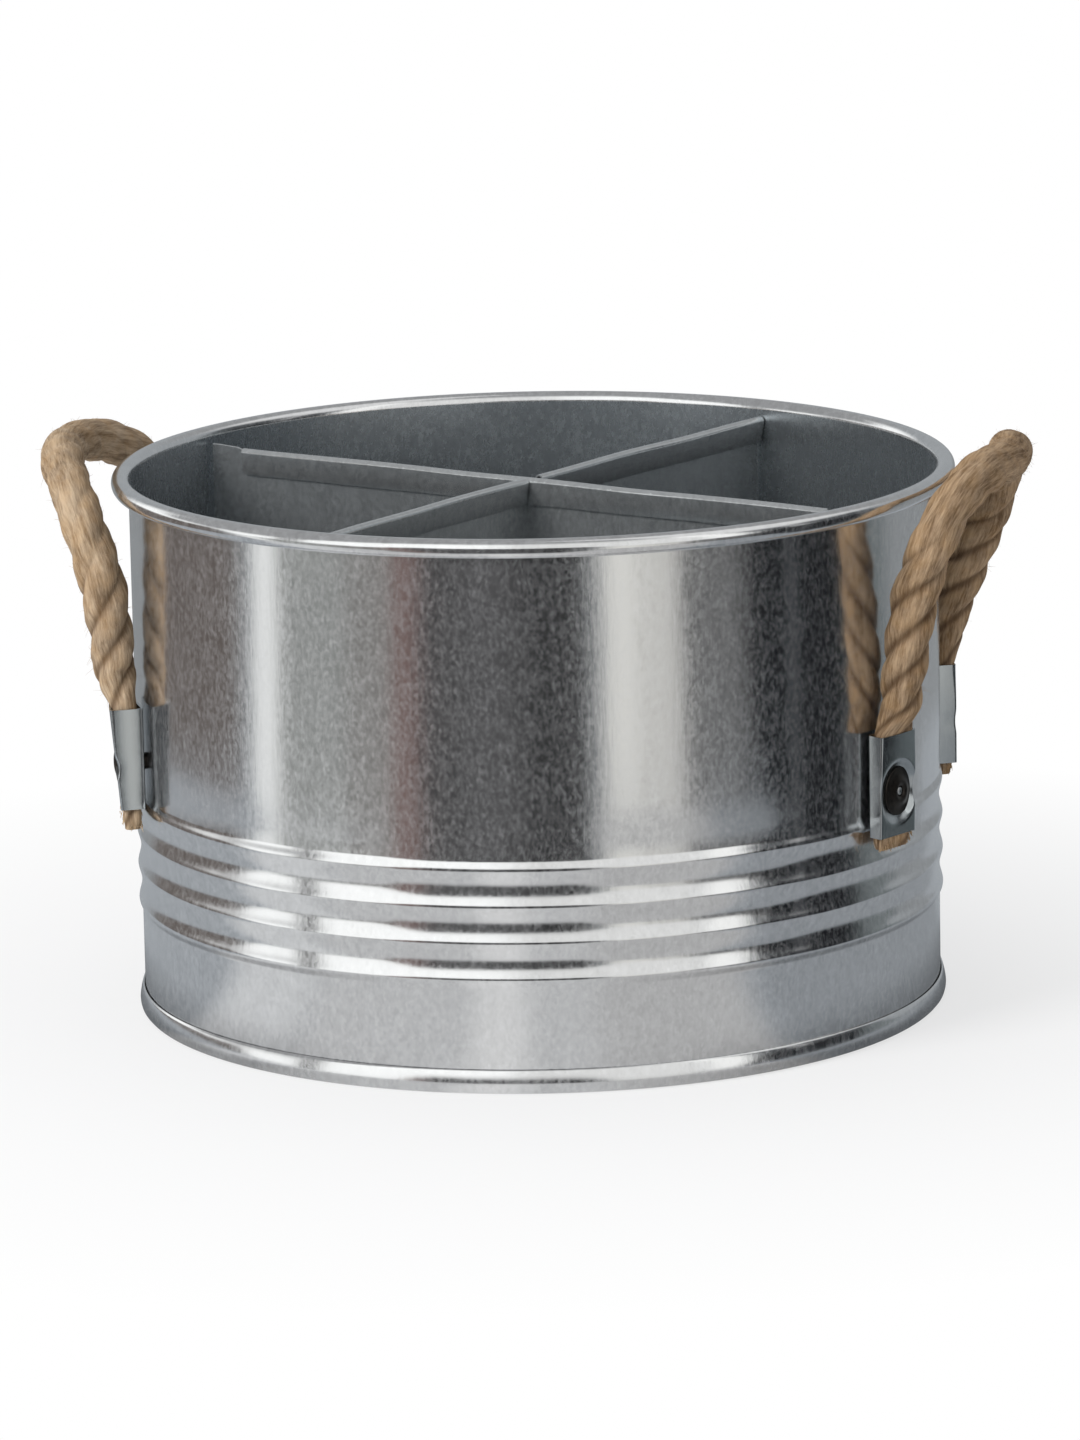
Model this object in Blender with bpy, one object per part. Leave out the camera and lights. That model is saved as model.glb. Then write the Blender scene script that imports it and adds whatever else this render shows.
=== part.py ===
"""Galvanized bottle stand: a round sheet-metal tub with a crossed divider and two rope handles.

Metres, +Z up. The origin is on the ground under the tub's centre, and the handles stand on +X and -X.
"""

import math

import bmesh
import bpy
from mathutils import Matrix, Vector

# Driving sizes of the tub
body_diameter = 0.240
body_height = 0.162
sheet = 0.0005
seat_gap = 0.0003

# Rolled rim
rim_curl_diameter = 0.0056
rim_curl_end_degrees = -125.0

# Pressed ribs: crests with a hollow flute between each two
rib_crests = 4
lowest_crest_height = 0.0335
rib_pitch = 0.01065
crest_rise = 0.0005
crest_shoulder = 0.0027
flute_depth = 0.0010
lower_band_inset = 0.0005

# Base pan and the seam that folds round the wall's foot
base_recess = 0.0055
seam_height = 0.0070
seam_corner = 0.0010

# Crossed divider
divider_angle_degrees = -24.0
divider_drop = 0.0048
hem_depth = 0.0080
hem_gap = 0.0010
hem_cut_back = 0.0150
divider_end_gap = 0.0005
divider_rivet_clearance = 0.0007
rivet_relief_over = 0.0080
cross_divider_end_gap = 0.0015
hem_notch_clearance = 0.0028

# Rope and its clamps
rope_diameter = 0.012
clamp_half_angle_degrees = 24.0
clamp_over_rib = 0.00245
left_clamp_lift = 0.0039
clamp_height = 0.0302
clamp_sheet = 0.0006
clamp_top_depth = 0.0074
clamp_foot_depth = 0.0055
clamp_seat_depth = 0.0040
clamp_top_corner = 0.0026
clamp_ridge_width = 0.0008
clamp_ridge_corner = 0.0004
frayed_length = 0.0042

# Rope handle
handle_lean = 0.0265
handle_rise = 0.0650
# Half of the arch from a clamp to the crown: shares of the half width, of the lean and of the rise
handle_shares = (
    (1.0, 0.0, 0.0),
    (0.980, 0.03, 0.192),
    (0.961, 0.175, 0.531),
    (0.757, 0.54, 0.862),
    (0.0, 1.0, 1.0),
)
rope_step = 0.0080
ball_end_shares = (0.97, 0.72, 0.36)

# Blind rivet
rivet_height_share = 0.42
rivet_head_diameter = 0.0142
rivet_head_clearance = 0.00025
rivet_head_edge = 0.0005
rivet_head_rise = 0.0016
rivet_shank_diameter = 0.0050
rivet_bore_diameter = 0.0030
rivet_bulb_diameter = 0.0074
rivet_bulb_height = 0.0014
mandrel_head_diameter = 0.0042
mandrel_head_height = 0.0008
mandrel_sink = 0.0006

# Fineness of the round pieces
wall_steps = 56
curl_steps = 8
flute_steps = 4
rivet_steps = 14
rim_wire_sides = 6
rope_side_steps = 3
route_fineness = 12
cut_overrun = 0.0100
weld_distance = 0.000001

# Sizes that follow
wall_radius = body_diameter / 2
inner_radius = wall_radius - sheet
band_radius = wall_radius - lower_band_inset
crest_radius = wall_radius + crest_rise
top_crest_height = lowest_crest_height + rib_pitch * (rib_crests - 1)
curl_radius = rim_curl_diameter / 2
curl_height = body_height - curl_radius
wire_radius = curl_radius - sheet - seat_gap
pan_floor_top = base_recess + sheet
wall_foot = sheet + seat_gap
divider_foot = pan_floor_top + seat_gap
divider_top = body_height - divider_drop
divider_middle = (divider_foot + divider_top) / 2
hem_thickness = 2 * sheet + hem_gap
hem_radius = hem_thickness / 2
hem_offset = (sheet + hem_gap) / 2
rope_radius = rope_diameter / 2
clamp_foot_height = top_crest_height - clamp_over_rib
clamp_width = rivet_head_diameter + 2 * (rivet_head_clearance + clamp_ridge_width)
clamp_back = crest_radius + seat_gap
clamp_top = clamp_foot_height + clamp_height
clamp_half_angle = math.radians(clamp_half_angle_degrees)
hinge_radius = wall_radius + 2 * seat_gap + rope_radius
hinge_height = clamp_top + seat_gap + rope_radius
hinge_out = hinge_radius * math.cos(clamp_half_angle)
handle_half_width = hinge_radius * math.sin(clamp_half_angle)
rivet_height = clamp_foot_height + rivet_height_share * clamp_height
rivet_seat = clamp_back + clamp_seat_depth + seat_gap
rivet_head_radius = rivet_head_diameter / 2
shank_radius = rivet_shank_diameter / 2
bore_radius = rivet_bore_diameter / 2
rivet_bulb_top = inner_radius - seat_gap
rivet_blind_end = rivet_bulb_top - rivet_bulb_height
mandrel_head_top = rivet_blind_end - seat_gap
divider_half = inner_radius - divider_end_gap
relieved_half = mandrel_head_top - mandrel_head_height - divider_rivet_clearance


def clear_scene():
    for old in list(bpy.data.objects):
        bpy.data.objects.remove(old, do_unlink=True)


def finish(name, colour, roughness, metallic):
    """A Principled material with one colour."""
    material = bpy.data.materials.new(name)
    material.use_nodes = True
    shader = material.node_tree.nodes["Principled BSDF"]
    shader.inputs["Base Color"].default_value = (*colour, 1.0)
    shader.inputs["Roughness"].default_value = roughness
    shader.inputs["Metallic"].default_value = metallic
    material.diffuse_color = (*colour, 1.0)
    return material


def add_piece(name, bm, material, sharp_degrees=35.0):
    """Makes the object of a closed bmesh, with its faces pointing out."""
    bmesh.ops.recalc_face_normals(bm, faces=bm.faces)
    mesh = bpy.data.meshes.new(name)
    bm.to_mesh(mesh)
    bm.free()
    mesh.shade_smooth()
    mesh.set_sharp_from_angle(angle=math.radians(sharp_degrees))
    piece = bpy.data.objects.new(name, mesh)
    piece.data.materials.append(material)
    bpy.context.scene.collection.objects.link(piece)
    return piece


def turned(outline, steps):
    """Turns a closed outline of (radius, height) points round the Z axis."""
    bm = bmesh.new()
    corners = [bm.verts.new((radius, 0.0, height)) for radius, height in outline]
    edges = [bm.edges.new((a, b)) for a, b in zip(corners, corners[1:] + corners[:1])]
    bmesh.ops.spin(
        bm,
        geom=corners + edges,
        cent=(0.0, 0.0, 0.0),
        axis=(0.0, 0.0, 1.0),
        angle=math.tau,
        steps=steps,
        use_merge=True,
    )
    bmesh.ops.remove_doubles(bm, verts=bm.verts, dist=weld_distance)
    on_axis = [edge for edge in bm.edges if not edge.link_faces]
    bmesh.ops.delete(bm, geom=on_axis, context="EDGES")
    return bm


def skinned(rings, joined_ends=False):
    """Joins rings of points, and closes the ends with faces or joins the last ring to the first."""
    bm = bmesh.new()
    loops = [[bm.verts.new(point) for point in ring] for ring in rings]
    following = loops[1:] + (loops[:1] if joined_ends else [])
    for lower, upper in zip(loops, following):
        for i in range(len(lower)):
            j = (i + 1) % len(lower)
            bm.faces.new((lower[i], lower[j], upper[j], upper[i]))
    if not joined_ends:
        bm.faces.new(loops[0])
        bm.faces.new(loops[-1])
    return bm


def arc(centre_across, centre_up, radius, start_degrees, end_degrees, steps):
    """Points of an arc, both ends among them."""
    points = []
    for i in range(steps + 1):
        angle = math.radians(start_degrees + (end_degrees - start_degrees) * i / steps)
        points.append((centre_across + radius * math.cos(angle), centre_up + radius * math.sin(angle)))
    return points


def add_cut(piece, cutter, name):
    """Cuts the hidden cutter out of the piece."""
    cutter.hide_render = True
    cutter.display_type = "WIRE"
    cut = piece.modifiers.new(name, "BOOLEAN")
    cut.operation = "DIFFERENCE"
    cut.solver = "EXACT"
    cut.object = cutter


def rib_line():
    """(height, radius) of the wall's outer face from its foot to above the top rib."""
    line = [(wall_foot, band_radius)]
    line.append((lowest_crest_height - crest_shoulder, band_radius))
    for rib in range(rib_crests):
        crest = lowest_crest_height + rib * rib_pitch
        line.append((crest, crest_radius))
        if rib == rib_crests - 1:
            break
        for step in range(1, flute_steps):
            share = step / flute_steps
            hollow = flute_depth * math.sin(math.pi * share)
            line.append((crest + share * rib_pitch, crest_radius - hollow))
    line.append((top_crest_height + crest_shoulder, wall_radius))
    return line


def wall_outline():
    """The wall's section: up its inner face, round the rolled rim and down its outer face."""
    centre = inner_radius + curl_radius
    outer_face = rib_line()
    points = [(radius - sheet, height) for height, radius in outer_face]
    points += arc(centre, curl_height, curl_radius, 180.0, rim_curl_end_degrees, curl_steps)
    points += arc(centre, curl_height, curl_radius - sheet, rim_curl_end_degrees, 180.0, curl_steps)
    points += [(radius, height) for height, radius in reversed(outer_face)]
    return points


def pan_outline():
    """The pan's section: its raised floor, its wall inside the tub and the seam folded up outside."""
    inside = band_radius - sheet - seat_gap
    outside = band_radius + seat_gap
    seam_radius = outside + sheet
    points = [(0.0, base_recess), (inside - sheet, base_recess), (inside - sheet, 0.0)]
    points += arc(seam_radius - seam_corner, seam_corner, seam_corner, -90.0, 0.0, 3)
    points += arc(seam_radius - sheet / 2, seam_height - sheet / 2, sheet / 2, 0.0, 90.0, 2)
    points += [(outside, seam_height), (outside, sheet), (inside, sheet)]
    points += [(inside, pan_floor_top), (0.0, pan_floor_top)]
    return points


def hemmed_section(foot, top):
    """A sheet's section across its thickness, with its top folded over into an open hem."""
    fold = top - hem_radius
    points = [(-sheet / 2, foot), (sheet / 2, foot)]
    points += arc(hem_offset, fold, hem_gap / 2, 180.0, 0.0, 4)
    points += [(sheet / 2 + hem_gap, top - hem_depth), (hem_thickness - sheet / 2, top - hem_depth)]
    points += arc(hem_offset, fold, hem_radius, 0.0, 180.0, 6)
    return points


def divider(name, half_length, turn):
    """A straight hemmed sheet across the tub. Its hem folds over towards the sheet's own -Y."""
    section = hemmed_section(divider_foot, divider_top)
    ends = [[Vector((x, -across, up)) for across, up in section] for x in (-half_length, half_length)]
    piece = add_piece(name, skinned(ends), tub_finish)
    piece.matrix_world = turn
    return piece


def bar_cutter(name, outline, near, far, turn):
    """A bar with the outline of (across, up) points, between two distances along the turned X axis."""
    ends = [[Vector((x, across, up)) for across, up in outline] for x in (near, far)]
    cutter = add_piece(name, skinned(ends), cutter_finish)
    cutter.matrix_world = turn
    return cutter


def upright(half_width, foot, top):
    """A rectangle's outline, as wide as the cut needs to be."""
    return [(-half_width, foot), (half_width, foot), (half_width, top), (-half_width, top)]


def build_dividers():
    """Two sheets halved into each other: the long one keeps its hem whole over the crossing."""
    long_turn = Matrix.Rotation(math.radians(divider_angle_degrees), 4, "Z")
    cross_turn = long_turn @ Matrix.Rotation(math.pi / 2, 4, "Z")
    long_sheet = divider("divider_long", divider_half, long_turn)
    cross_sheet = divider("divider_cross", divider_half, cross_turn)
    slot = sheet / 2 + seat_gap
    sheet_end = inner_radius - cross_divider_end_gap
    hem_top = divider_top + cut_overrun
    hem_foot = divider_top - hem_depth - seat_gap
    under_foot = divider_foot - cut_overrun
    fold = divider_top - hem_radius - seat_gap

    # The long sheet's slot from below, its hem cut off to a plain tab at both ends, and its ends cut back
    # from the foot up to clear the rivets' blind ends.
    low_slot = upright(cut_overrun, under_foot, divider_middle + seat_gap)
    add_cut(long_sheet, bar_cutter("long_slot_cutter", low_slot, -slot, slot, long_turn), "slot")
    tab = [(-cut_overrun, hem_foot), (-hem_offset, hem_foot), (-hem_offset, fold)]
    tab += [(cut_overrun, fold), (cut_overrun, hem_top), (-cut_overrun, hem_top)]
    for side, label, lift in ((-1, "left", left_clamp_lift), (1, "right", 0.0)):
        near = side * (divider_half - hem_cut_back)
        far = side * (divider_half + cut_overrun)
        hem_cutter = bar_cutter(f"long_hem_cutter_{label}", tab, near, far, long_turn)
        add_cut(long_sheet, hem_cutter, f"hem_{label}")
        relieved = side * relieved_half
        relief = upright(cut_overrun, under_foot, rivet_height + lift + rivet_relief_over)
        relief_cutter = bar_cutter(f"long_relief_cutter_{label}", relief, relieved, far, long_turn)
        add_cut(long_sheet, relief_cutter, f"relief_{label}")

    # The cross sheet's slot from above, wider through its hem, and its ends cut back below the hem.
    high_slot = upright(cut_overrun, divider_middle, hem_top)
    add_cut(cross_sheet, bar_cutter("cross_slot_cutter", high_slot, -slot, slot, cross_turn), "slot")
    notch = upright(cut_overrun, hem_foot, hem_top)
    half_notch = hem_thickness - sheet / 2 + hem_notch_clearance
    add_cut(cross_sheet, bar_cutter("cross_hem_cutter", notch, -half_notch, half_notch, cross_turn), "notch")
    below = upright(cut_overrun, under_foot, hem_foot)
    for side, label in ((-1, "left"), (1, "right")):
        near = side * sheet_end
        far = side * (divider_half + cut_overrun)
        end_cutter = bar_cutter(f"cross_end_cutter_{label}", below, near, far, cross_turn)
        add_cut(cross_sheet, end_cutter, f"end_{label}")


def sleeve_outline(half_width, back, front, middle, corner, shoulder):
    """(along, out) points round a flattened sleeve, whose front sinks from front to middle."""
    quarter = 1.0 - math.sqrt(0.5)
    right = [
        (half_width, back),
        (half_width, front - corner),
        (half_width - quarter * corner, front - quarter * corner),
        (half_width - corner, front),
        (shoulder, middle),
    ]
    left = [(-along, out) for along, out in reversed(right)]
    return right + [(0.0, middle)] + left


def sleeve_levels():
    """(height, edge depth, middle depth, corner, shoulder) of the crimped sleeve from its foot to its top."""
    seat_reach = rivet_head_radius + seat_gap
    dish = clamp_width / 2 - clamp_ridge_width
    crimp_low = rivet_height - seat_reach
    crimp_high = rivet_height + seat_reach
    lip_depth = (clamp_foot_depth + clamp_seat_depth) / 2
    bulge = (crimp_high + clamp_top) / 2
    bulge_depth = (clamp_top_depth + clamp_foot_depth) / 2
    bulge_corner = (clamp_ridge_corner + clamp_top_corner) / 2
    return (
        (clamp_foot_height, clamp_foot_depth, lip_depth, clamp_ridge_corner, dish),
        (crimp_low, clamp_foot_depth, clamp_seat_depth, clamp_ridge_corner, dish),
        (crimp_high, clamp_foot_depth, clamp_seat_depth, clamp_ridge_corner, dish),
        (bulge, bulge_depth, bulge_depth, bulge_corner, clamp_width / 4),
        (clamp_top, clamp_top_depth, clamp_top_depth, clamp_top_corner, clamp_width / 4),
    )


def sleeve_ring(level, inset):
    """The sleeve's outline at one level, drawn in by the inset. Inside, its front is flat."""
    height, edge, middle, corner, shoulder = level
    half_width = clamp_width / 2 - inset
    front = middle if inset else edge
    widest = half_width - corner - clamp_ridge_corner
    points = sleeve_outline(half_width, inset, front - inset, middle - inset, corner, min(shoulder, widest))
    return [Vector((clamp_back + out, along, height)) for along, out in points]


def clamp_mesh():
    """The zinc sleeve, open at its top and its foot."""
    levels = sleeve_levels()
    outer = [sleeve_ring(level, 0.0) for level in levels]
    inner = [sleeve_ring(level, clamp_sheet) for level in reversed(levels)]
    return skinned(outer + inner, joined_ends=True)


def rope_end_mesh():
    """The rope's flattened end, from its frayed tip below the sleeve to the sleeve's top."""
    levels = sleeve_levels()
    inset = clamp_sheet + seat_gap
    foot = levels[0]
    tip = (clamp_foot_height - frayed_length, *foot[1:])
    rings = [sleeve_ring(level, inset) for level in (tip, *levels)]
    return skinned(rings)


def rivet_outline():
    """The hollow rivet's section: (radius, distance from the tub's axis)."""
    bulb = rivet_bulb_diameter / 2
    step = rivet_bulb_height / 3
    crown = rivet_seat + rivet_head_rise
    return [
        (bore_radius, rivet_blind_end),
        (shank_radius, rivet_blind_end),
        (bulb, rivet_blind_end + step),
        (bulb, rivet_bulb_top),
        (shank_radius, rivet_bulb_top),
        (shank_radius, rivet_seat),
        (rivet_head_radius, rivet_seat),
        (rivet_head_radius, rivet_seat + rivet_head_edge),
        ((rivet_head_radius + shank_radius) / 2, crown - rivet_head_edge / 2),
        (shank_radius, crown),
        (bore_radius, crown - rivet_head_edge),
    ]


def mandrel_outline():
    """The broken-off mandrel left in the rivet's bore, with its head at the blind end."""
    pin = bore_radius - seat_gap
    head = mandrel_head_diameter / 2
    end = rivet_seat + rivet_head_rise - rivet_head_edge - mandrel_sink
    return [
        (0.0, mandrel_head_top - mandrel_head_height),
        (head - mandrel_head_height / 2, mandrel_head_top - mandrel_head_height),
        (head, mandrel_head_top - mandrel_head_height / 2),
        (head, mandrel_head_top),
        (pin, mandrel_head_top),
        (pin, end),
        (0.0, end),
    ]


def lay_outwards(bm):
    """Lays a turned rivet piece down: its axis runs out along +X at the rivet's height."""
    bmesh.ops.rotate(bm, cent=(0.0, 0.0, 0.0), matrix=Matrix.Rotation(math.pi / 2, 3, "Y"), verts=bm.verts)
    bmesh.ops.translate(bm, vec=(0.0, 0.0, rivet_height), verts=bm.verts)
    return bm


def rivet_hole():
    """The rod that cuts a rivet's clearance hole."""
    radius = shank_radius + seat_gap
    start = inner_radius - cut_overrun
    end = rivet_seat + cut_overrun
    outline = [(0.0, start), (radius, start), (radius, end), (0.0, end)]
    return lay_outwards(turned(outline, rivet_steps))


def build_clamps(wall):
    """A clamp, the rope's end in it and a rivet through both and the wall, at four places."""
    places = (
        ("right_front", -clamp_half_angle, 0.0),
        ("right_rear", clamp_half_angle, 0.0),
        ("left_rear", math.pi - clamp_half_angle, left_clamp_lift),
        ("left_front", math.pi + clamp_half_angle, left_clamp_lift),
    )
    for label, angle, lift in places:
        place = Matrix.Rotation(angle, 4, "Z") @ Matrix.Translation((0.0, 0.0, lift))
        hole = add_piece(f"rivet_hole_cutter_{label}", rivet_hole(), cutter_finish)
        sleeve = add_piece(f"rope_clamp_{label}", clamp_mesh(), clamp_finish)
        rope_end = add_piece(f"rope_end_{label}", rope_end_mesh(), rope_finish)
        body = add_piece(f"rivet_{label}", lay_outwards(turned(rivet_outline(), rivet_steps)), rivet_finish)
        mandrel_bm = lay_outwards(turned(mandrel_outline(), rivet_steps))
        mandrel = add_piece(f"rivet_mandrel_{label}", mandrel_bm, mandrel_finish)
        for piece in (hole, sleeve, rope_end, body, mandrel):
            piece.matrix_world = place
        for piece in (wall, sleeve, rope_end):
            add_cut(piece, hole, f"rivet_{label}")


def smooth_route(points, steps):
    """Points of a Catmull-Rom curve through the given ones."""
    first = points[0] * 2 - points[1]
    last = points[-1] * 2 - points[-2]
    held = [first, *points, last]
    route = []
    for a, b, c, d in zip(held, held[1:], held[2:], held[3:]):
        for step in range(steps):
            t = step / steps
            bend = (a * 2 - b * 5 + c * 4 - d) * t * t
            twist = (b * 3 - a - c * 3 + d) * t * t * t
            route.append((b * 2 + (c - a) * t + bend + twist) / 2)
    route.append(points[-1])
    return route


def even_route(points, spacing):
    """The same line with points at an even spacing."""
    reach = [0.0]
    for a, b in zip(points, points[1:]):
        reach.append(reach[-1] + (b - a).length)
    count = round(reach[-1] / spacing)
    even = []
    for i in range(count + 1):
        wanted = reach[-1] * i / count
        k = max(j for j in range(len(points) - 1) if reach[j] <= wanted)
        share = (wanted - reach[k]) / (reach[k + 1] - reach[k])
        even.append(points[k].lerp(points[k + 1], share))
    return even


def handle_route(lift):
    """The rope's centre line from hinge to hinge, from the middle of the hinge axis."""
    reach = Vector((handle_lean, handle_half_width, handle_rise - lift))
    half = [reach * Vector((out, along, up)) for along, out, up in handle_shares]
    other = [point * Vector((1, -1, 1)) for point in half[-2::-1]]
    return even_route(smooth_route(half + other, route_fineness), rope_step)


def build_handle(label, angle, lift):
    """One rope arch on an empty that stands on its hinge axis at the top of the clamps.

    Where the clamps sit higher by the lift, the legs are that much shorter.
    """
    pivot = bpy.data.objects.new(f"handle_pivot_{label}", None)
    bpy.context.scene.collection.objects.link(pivot)
    pivot.matrix_world = Matrix.Rotation(angle, 4, "Z") @ Matrix.Translation((hinge_out, 0.0, hinge_height + lift))
    route = handle_route(lift)
    below = Vector((0.0, 0.0, -rope_radius))
    ball = [(below * share, math.sqrt(1.0 - share * share)) for share in ball_end_shares]
    start = [(route[0] + offset, size) for offset, size in ball]
    end = [(route[-1] + offset, size) for offset, size in reversed(ball)]
    stations = start + [(point, 1.0) for point in route] + end
    curve = bpy.data.curves.new(f"rope_handle_{label}", "CURVE")
    curve.dimensions = "3D"
    curve.bevel_depth = rope_radius
    curve.bevel_resolution = rope_side_steps
    curve.use_fill_caps = True
    spline = curve.splines.new("POLY")
    spline.points.add(len(stations) - 1)
    for knot, (place, size) in zip(spline.points, stations):
        knot.co = (*place, 1.0)
        knot.radius = size
    handle = bpy.data.objects.new(f"rope_handle_{label}", curve)
    handle.data.materials.append(rope_finish)
    bpy.context.scene.collection.objects.link(handle)
    handle.parent = pivot


clear_scene()
tub_finish = finish("galvanized_sheet", (0.60, 0.62, 0.63), 0.28, 1.0)
wire_finish = finish("steel_wire", (0.45, 0.46, 0.47), 0.40, 1.0)
clamp_finish = finish("bright_zinc", (0.74, 0.76, 0.78), 0.20, 1.0)
rope_finish = finish("jute_rope", (0.42, 0.29, 0.17), 0.90, 0.0)
rivet_finish = finish("dark_rivet", (0.16, 0.14, 0.12), 0.38, 1.0)
mandrel_finish = finish("mandrel_steel", (0.62, 0.62, 0.62), 0.30, 1.0)
cutter_finish = finish("cutter", (0.80, 0.20, 0.20), 0.50, 0.0)

tub_wall = add_piece("tub_wall", turned(wall_outline(), wall_steps), tub_finish)
wire_outline = arc(inner_radius + curl_radius, curl_height, wire_radius, 0.0, 360.0, rim_wire_sides)[:-1]
add_piece("rim_wire", turned(wire_outline, wall_steps), wire_finish)
add_piece("base_pan", turned(pan_outline(), wall_steps), tub_finish)
build_dividers()
build_clamps(tub_wall)
build_handle("right", 0.0, 0.0)
build_handle("left", math.pi, left_clamp_lift)
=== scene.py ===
import math
import random

import bmesh
import bpy
from mathutils import Matrix, Vector


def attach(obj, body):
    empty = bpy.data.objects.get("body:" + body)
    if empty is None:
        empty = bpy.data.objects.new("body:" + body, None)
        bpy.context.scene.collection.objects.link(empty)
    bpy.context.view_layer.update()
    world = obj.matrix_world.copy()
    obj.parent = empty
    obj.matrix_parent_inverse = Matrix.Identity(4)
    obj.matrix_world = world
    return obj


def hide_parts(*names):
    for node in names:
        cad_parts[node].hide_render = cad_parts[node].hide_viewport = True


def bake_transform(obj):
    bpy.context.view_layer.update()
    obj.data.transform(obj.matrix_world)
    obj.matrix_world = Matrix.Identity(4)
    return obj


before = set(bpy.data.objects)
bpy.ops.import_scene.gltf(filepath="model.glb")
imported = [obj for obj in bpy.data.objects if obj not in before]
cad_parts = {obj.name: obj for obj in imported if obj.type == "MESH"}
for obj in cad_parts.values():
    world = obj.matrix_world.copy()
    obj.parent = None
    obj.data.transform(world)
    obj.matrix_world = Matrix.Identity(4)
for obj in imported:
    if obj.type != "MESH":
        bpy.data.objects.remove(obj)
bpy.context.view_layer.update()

MM = 0.001

# Camera, as fitted to the photograph
VIEW_AZIMUTH = math.radians(10.5)
VIEW_ELEVATION = math.radians(12.19)
VIEW_ROLL = math.radians(-1.16)
VIEW_DISTANCE = 2.288
VIEW_TARGET = Vector((0.0006, 0.0001, 0.0834))
FOCAL_PIXELS = 7656
SENSOR_WIDTH = 36.0
FRAME_HEIGHT = 1440
# What the lamps face
LAMP_AIM = Vector((0, 0, 0.09))

# Tub: the wall's sheet, its rolled rim, the flat band under the ribs, the ribs' crests and the pan with its seam
WALL_RADIUS = 120.0 * MM
WALL_HEIGHT = 162.0 * MM
SHEET = 0.5 * MM
CURL_RADIUS = 2.8 * MM
CURL_END = math.radians(-125)
BAND_RADIUS = 119.5 * MM
WALL_FOOT = 0.8 * MM
CREST_HEIGHTS = (33.5 * MM, 44.15 * MM, 54.8 * MM, 65.45 * MM)
CREST_RISE = 0.5 * MM
CREST_SHOULDER = 2.7 * MM
# How blunt the crests are, from 0, where two flutes meet in an edge
CREST_ROUND = 0.08
FLUTE_DEPTH = 1.0 * MM
# The top rib falls over a longer shoulder into a shallow dip, which runs out further up
TOP_SHOULDER = 3.2 * MM
TOP_DIP = 0.2 * MM
TOP_DIP_REACH = 16.0 * MM
SHOULDER_STEPS = 8
FLUTE_STEPS = 18
DIP_STEPS = 4
PAN_FLOOR = 5.5 * MM
PAN_CORNER = 1.0 * MM
PAN_FIT = 0.3 * MM
SEAM_HEIGHT = 7.0 * MM
SEAM_OUT = 121.1 * MM
# The seam's outer face from its foot up: how far it falls back from its widest, and its height, in millimetres
SEAM_FACE = ((0.28, 0.9), (0.06, 1.7), (0.0, 2.5), (0.10, 3.4), (0.27, 4.4), (0.50, 5.4), (0.74, 6.3), (0.95, 6.8))
# Next to the axis, where an outline that is turned round it ends
AXIS = 0.01 * MM
TURN_STEPS = 240

# Clamps and rivets
CLAMP_BACK = 121.1 * MM
CLAMP_FOOT = 63.0 * MM
CLAMP_TOP = 93.2 * MM
CLAMP_HALF_WIDTH = 8.5 * MM
CLAMP_SHEET = 0.6 * MM
CLAMP_BACK_CORNER = 1.3 * MM
CLAMP_FOOT_CORNER = 0.7
CLAMP_MIN_CORNER = 0.15 * MM
CLAMP_FRONT_STEPS = 44
CLAMP_RISE_STEPS = 60
# How each sleeve was squeezed, in millimetres. How far its front stands off its back at the top, under the rivet's
# head (seat) and at the foot; over how much the dent round the head fades; how much further its right side stands
# out than its middle (lean), and how far its front is pushed to the left, as one faces the clamp; how far its front
# bulges at the top; and its corners' radius at the top
CLAMP_SHAPES = {
    "right_front": {
        "top": 6.8, "seat": 4.8, "foot": 6.0, "fade": 3.2, "lean": 0.8, "pushed": 1.7, "bulge": 0.4, "corner": 1.2
    },
    "right_rear": {
        "top": 6.6, "seat": 5.4, "foot": 6.6, "fade": 2.4, "lean": -0.3, "pushed": 0.0, "bulge": 0.3, "corner": 1.4
    },
    "left_rear": {
        "top": 8.6, "seat": 5.8, "foot": 6.1, "fade": 2.4, "lean": -1.6, "pushed": 0.0, "bulge": 0.2, "corner": 1.2
    },
    "left_front": {
        "top": 8.6, "seat": 5.8, "foot": 6.1, "fade": 2.4, "lean": 1.6, "pushed": 0.0, "bulge": 0.2, "corner": 1.2
    },
}
CLAMP_LIFTS = {"right": 0.0, "left": 3.9 * MM}
RIVET_HEIGHT = 75.7 * MM
RIVET_HEAD = 7.1 * MM
RIVET_SHANK = 2.5 * MM
RIVET_BORE = 1.5 * MM
RIVET_BULB = 0.75 * MM
RIVET_BRIM = 0.25 * MM
# The rivet's head from its flat brim to its bore: its radius, and its height over its seat, in millimetres
RIVET_DOME = ((5.7, 0.62), (4.4, 0.95), (3.6, 1.35), (3.0, 1.52), (2.4, 1.5), (1.9, 1.3), (1.5, 1.0))
# The pin's broken end inside the tub: its radius, and its height over the rivet's blind end, in millimetres
PIN_TAIL = ((0.01, -1.0), (1.7, -1.0), (2.1, -0.6), (2.1, -0.1))
PIN_RADIUS = 1.4 * MM
# How much narrower than high the dent round a rivet's head is
DENT_NARROWS = 1.1
CLAMP_PLACES = {
    "right_front": math.radians(-24),
    "right_rear": math.radians(24),
    "left_rear": math.radians(156),
    "left_front": math.radians(204),
}

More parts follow.
